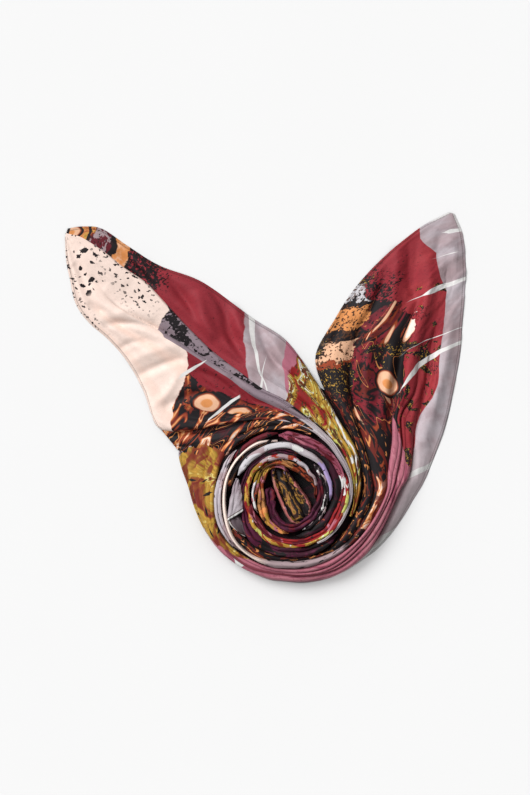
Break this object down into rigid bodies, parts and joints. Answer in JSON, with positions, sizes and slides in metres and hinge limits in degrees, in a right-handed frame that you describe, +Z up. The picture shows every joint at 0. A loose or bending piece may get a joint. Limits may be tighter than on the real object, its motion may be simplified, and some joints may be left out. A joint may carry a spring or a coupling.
{
  "type": "oblong scarf",
  "caption": "Oblong printed scarf twirled round its middle into a flat coil, with its two hemmed ends fanned out side by side.",
  "frame": {"origin": "centre of the bounding box on the surface the scarf lies on", "axes": "+Z up, +X along the longer side of the laid scarf, +Y towards the tips of its two ends"},
  "size_m": [0.501, 0.4601, 0.0364],
  "materials": {
    "blush_cloth": "blush part of the print on fine woven cloth, matte with a soft sheen",
    "burgundy_cloth": "burgundy part of the print on fine woven cloth, matte with a soft sheen",
    "ink_cloth": "ink part of the print on fine woven cloth, matte with a soft sheen",
    "lilac_cloth": "lilac part of the print on fine woven cloth, matte with a soft sheen",
    "mauve_cloth": "mauve part of the print on fine woven cloth, matte with a soft sheen",
    "olive_cloth": "olive part of the print on fine woven cloth, matte with a soft sheen",
    "plum_cloth": "plum part of the print on fine woven cloth, matte with a soft sheen",
    "red_cloth": "red part of the print on fine woven cloth, matte with a soft sheen",
    "rose_cloth": "rose part of the print on fine woven cloth, matte with a soft sheen",
    "rust_cloth": "rust part of the print on fine woven cloth, matte with a soft sheen",
    "stone_cloth": "stone part of the print on fine woven cloth, matte with a soft sheen"
  },
  "bodies": {
    "root": {"back_fold_turn": "olive_cloth", "burgundy_turn": "burgundy_cloth", "first_roll": "rose_cloth", "front_fold_turn": "stone_cloth", "gold_turn": "olive_cloth", "hem_band_turn": "mauve_cloth", "hem_corner": "stone_cloth", "hidden_layers": "ink_cloth", "inner_plum_turn": "plum_cloth", "inner_tuft": "olive_cloth", "left_back_panel": "burgundy_cloth", "left_flame_fold": "rust_cloth", "left_front_panel": "blush_cloth", "left_side": "olive_cloth", "lilac_turn": "lilac_cloth", "mauve_wrap_turn": "mauve_cloth", "night_turn": "ink_cloth", "olive_turn": "olive_cloth", "outer_roll": "rose_cloth", "peach_turn": "blush_cloth", "pleat_turn": "ink_cloth", "plum_turn": "plum_cloth", "red_turn": "red_cloth", "right_hem_band": "mauve_cloth", "right_left_strip": "ink_cloth", "right_middle_strip": "rust_cloth", "right_panel": "burgundy_cloth", "right_pleats": "rose_cloth", "second_roll": "rose_cloth", "streaked_turn": "ink_cloth", "tan_turn": "rust_cloth", "third_roll": "rose_cloth", "upper_pleat_turn": "ink_cloth"}
  },
  "joints": []
}
